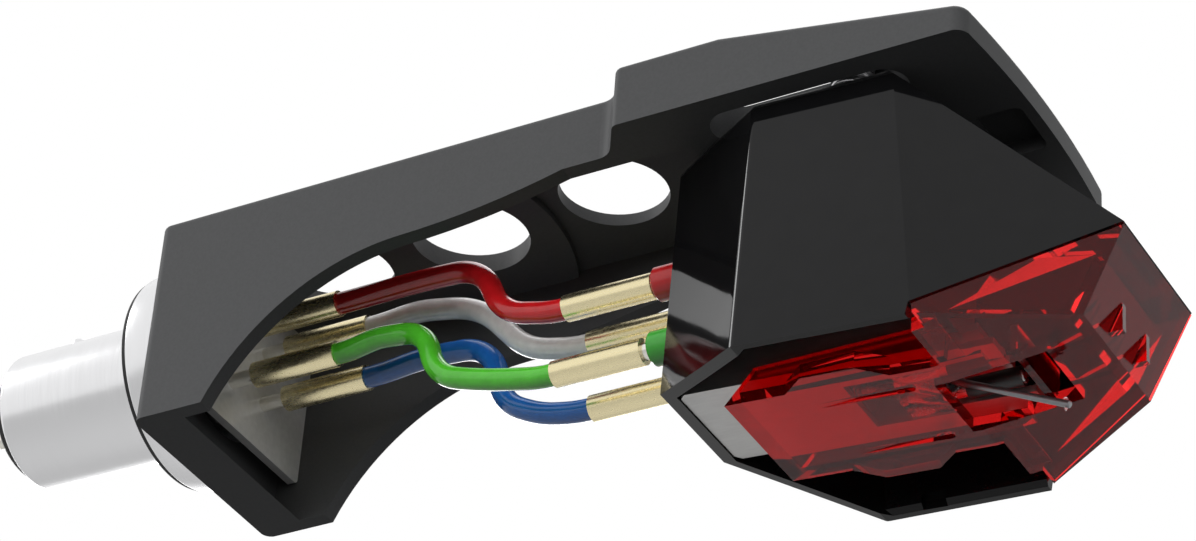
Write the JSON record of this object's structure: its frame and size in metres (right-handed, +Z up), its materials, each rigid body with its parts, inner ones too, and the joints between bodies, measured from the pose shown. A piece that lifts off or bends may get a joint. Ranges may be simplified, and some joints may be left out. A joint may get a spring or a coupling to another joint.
{
  "type": "turntable stylus cartridge",
  "caption": "Moving-magnet turntable cartridge with a removable clear stylus, mounted under an open channel headshell with a bayonet plug.",
  "frame": {"origin": "on the plug's axis, at the rear face of the rubber washer, which seats against the tonearm", "axes": "+X along the plug's axis towards the stylus, +Z up, away from the record, Y across"},
  "size_m": [0.0711, 0.0182, 0.0222],
  "materials": {
    "headshell_grey": "fine matte",
    "connector_silver": "satin turned",
    "seal_rubber": "matte",
    "insulator_black": "matte",
    "plate_grey": "satin",
    "contact_gold": "gold plated",
    "terminal_gold": "pale gold plated",
    "lead_white": "gloss",
    "lead_red": "gloss",
    "lead_green": "gloss",
    "lead_blue": "gloss",
    "collar_white": "gloss",
    "collar_red": "gloss",
    "collar_green": "gloss",
    "collar_blue": "gloss",
    "body_black": "high gloss",
    "can_steel": "satin",
    "coil_copper": "enamelled",
    "pole_steel": "satin",
    "screw_steel": "satin",
    "holder_red": "clear gloss",
    "tube_metal": "satin",
    "damper_rubber": "matte",
    "magnet_dark": "satin",
    "cantilever_metal": "satin",
    "diamond": "polished"
  },
  "bodies": {
    "mounted_cartridge": {"body_shell": "body_black", "cartridge_pin_blue": "contact_gold", "cartridge_pin_green": "contact_gold", "cartridge_pin_red": "contact_gold", "cartridge_pin_white": "contact_gold", "coils": "coil_copper", "connector_barrel": "connector_silver", "contact_pin_blue": "contact_gold", "contact_pin_green": "contact_gold", "contact_pin_red": "contact_gold", "contact_pin_white": "contact_gold", "end_insulator": "insulator_black", "front_terminal_blue": "terminal_gold", "front_terminal_green": "terminal_gold", "front_terminal_red": "terminal_gold", "front_terminal_white": "terminal_gold", "generator_can": "can_steel", "headshell_frame": "headshell_grey", "lead_blue": "lead_blue", "lead_green": "lead_green", "lead_red": "lead_red", "lead_white": "lead_white", "locating_pin": "connector_silver", "mounting_screws": "screw_steel", "pin_collar_blue": "collar_blue", "pin_collar_green": "collar_green", "pin_collar_red": "collar_red", "pin_collar_white": "collar_white", "pole_pieces": "pole_steel", "pole_sleeves": "insulator_black", "rear_terminal_blue": "terminal_gold", "rear_terminal_green": "terminal_gold", "rear_terminal_red": "terminal_gold", "rear_terminal_white": "terminal_gold", "rubber_washer": "seal_rubber", "screw_washers": "screw_steel", "terminal_plate": "plate_grey", "yoke": "pole_steel"},
    "stylus_unit": {"stylus_holder": "holder_red", "stylus_tube": "tube_metal", "tube_plug": "tube_metal"},
    "suspension": {"damper_ring": "damper_rubber", "suspension_wire": "pole_steel"},
    "cantilever_arm": {"cantilever": "cantilever_metal", "magnet": "magnet_dark", "diamond_stylus": "diamond"}
  },
  "joints": [
    {"name": "stylus_pull", "type": "slide", "parent": "mounted_cartridge", "child": "stylus_unit", "axis": [0, 0, -1], "range_m": [0, 0.012]},
    {"name": "sideways_give", "type": "hinge", "parent": "stylus_unit", "child": "suspension", "pos_m": [0.0509, 0, -0.01215], "axis": [0, 0, 1], "range_deg": [-2.5, 2.5], "stiffness_Nm_per_rad": 0.00245},
    {"name": "vertical_give", "type": "hinge", "parent": "suspension", "child": "cantilever_arm", "pos_m": [0.0509, 0, -0.01215], "axis": [0, 1, 0], "range_deg": [-2.5, 2.5], "stiffness_Nm_per_rad": 0.00245}
  ]
}
